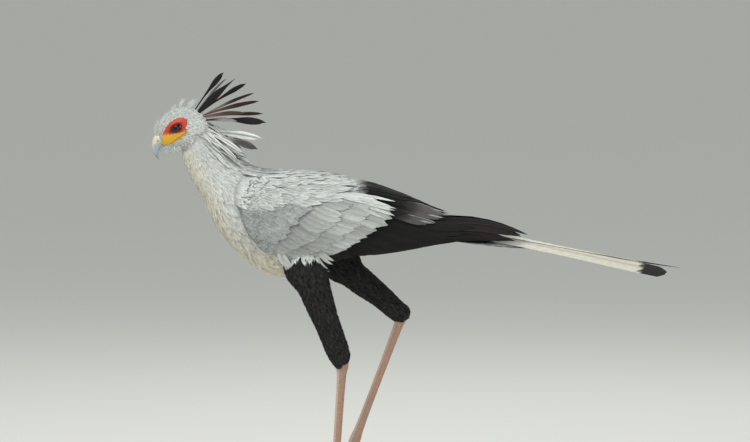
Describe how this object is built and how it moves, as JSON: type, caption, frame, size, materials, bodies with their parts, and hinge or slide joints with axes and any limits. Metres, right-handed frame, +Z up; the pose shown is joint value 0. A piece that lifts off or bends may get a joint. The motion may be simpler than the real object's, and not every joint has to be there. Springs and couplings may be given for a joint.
{
  "type": "secretary bird",
  "caption": "Life-size still model of a walking secretary bird: grey and white plumage, black thighs, loose crest, hooked bill, long tail and legs, one foot on a flat base.",
  "frame": {"origin": "on the underside of the flat base, below the toe joint of the left foot", "axes": "+Z up, the bird looks along -X, its left side is at -Y, its tail points along +X"},
  "size_m": [1.1651, 0.2166, 0.9718],
  "materials": {
    "plumage_grey": "pale grey contour feathers, matt",
    "plumage_white": "cream white contour feathers, matt",
    "plumage_black": "black velvety feathers",
    "bill_horn": "blue grey horn with a pale cere",
    "shank_scales": "pinkish scaled skin",
    "eye": "wet dark brown eye",
    "claw_horn": "dark horn",
    "base_stone": "honed pale stone"
  },
  "bodies": {
    "root": {"head": "plumage_grey", "neck": "plumage_grey", "wing_left": "plumage_grey", "wing_right": "plumage_grey", "breast": "plumage_white", "belly": "plumage_white", "tail": "plumage_white", "thigh_left": "plumage_black", "thigh_right": "plumage_black", "bill_upper": "bill_horn", "bill_lower": "bill_horn", "shank_left": "shank_scales", "shank_right": "shank_scales", "foot_left": "shank_scales", "foot_right": "shank_scales", "eye_left": "eye", "eye_right": "eye", "claw_left_inner": "claw_horn", "claw_left_middle": "claw_horn", "claw_left_outer": "claw_horn", "claw_left_hind": "claw_horn", "claw_right_inner": "claw_horn", "claw_right_middle": "claw_horn", "claw_right_outer": "claw_horn", "claw_right_hind": "claw_horn", "stand_base": "base_stone"}
  },
  "joints": []
}
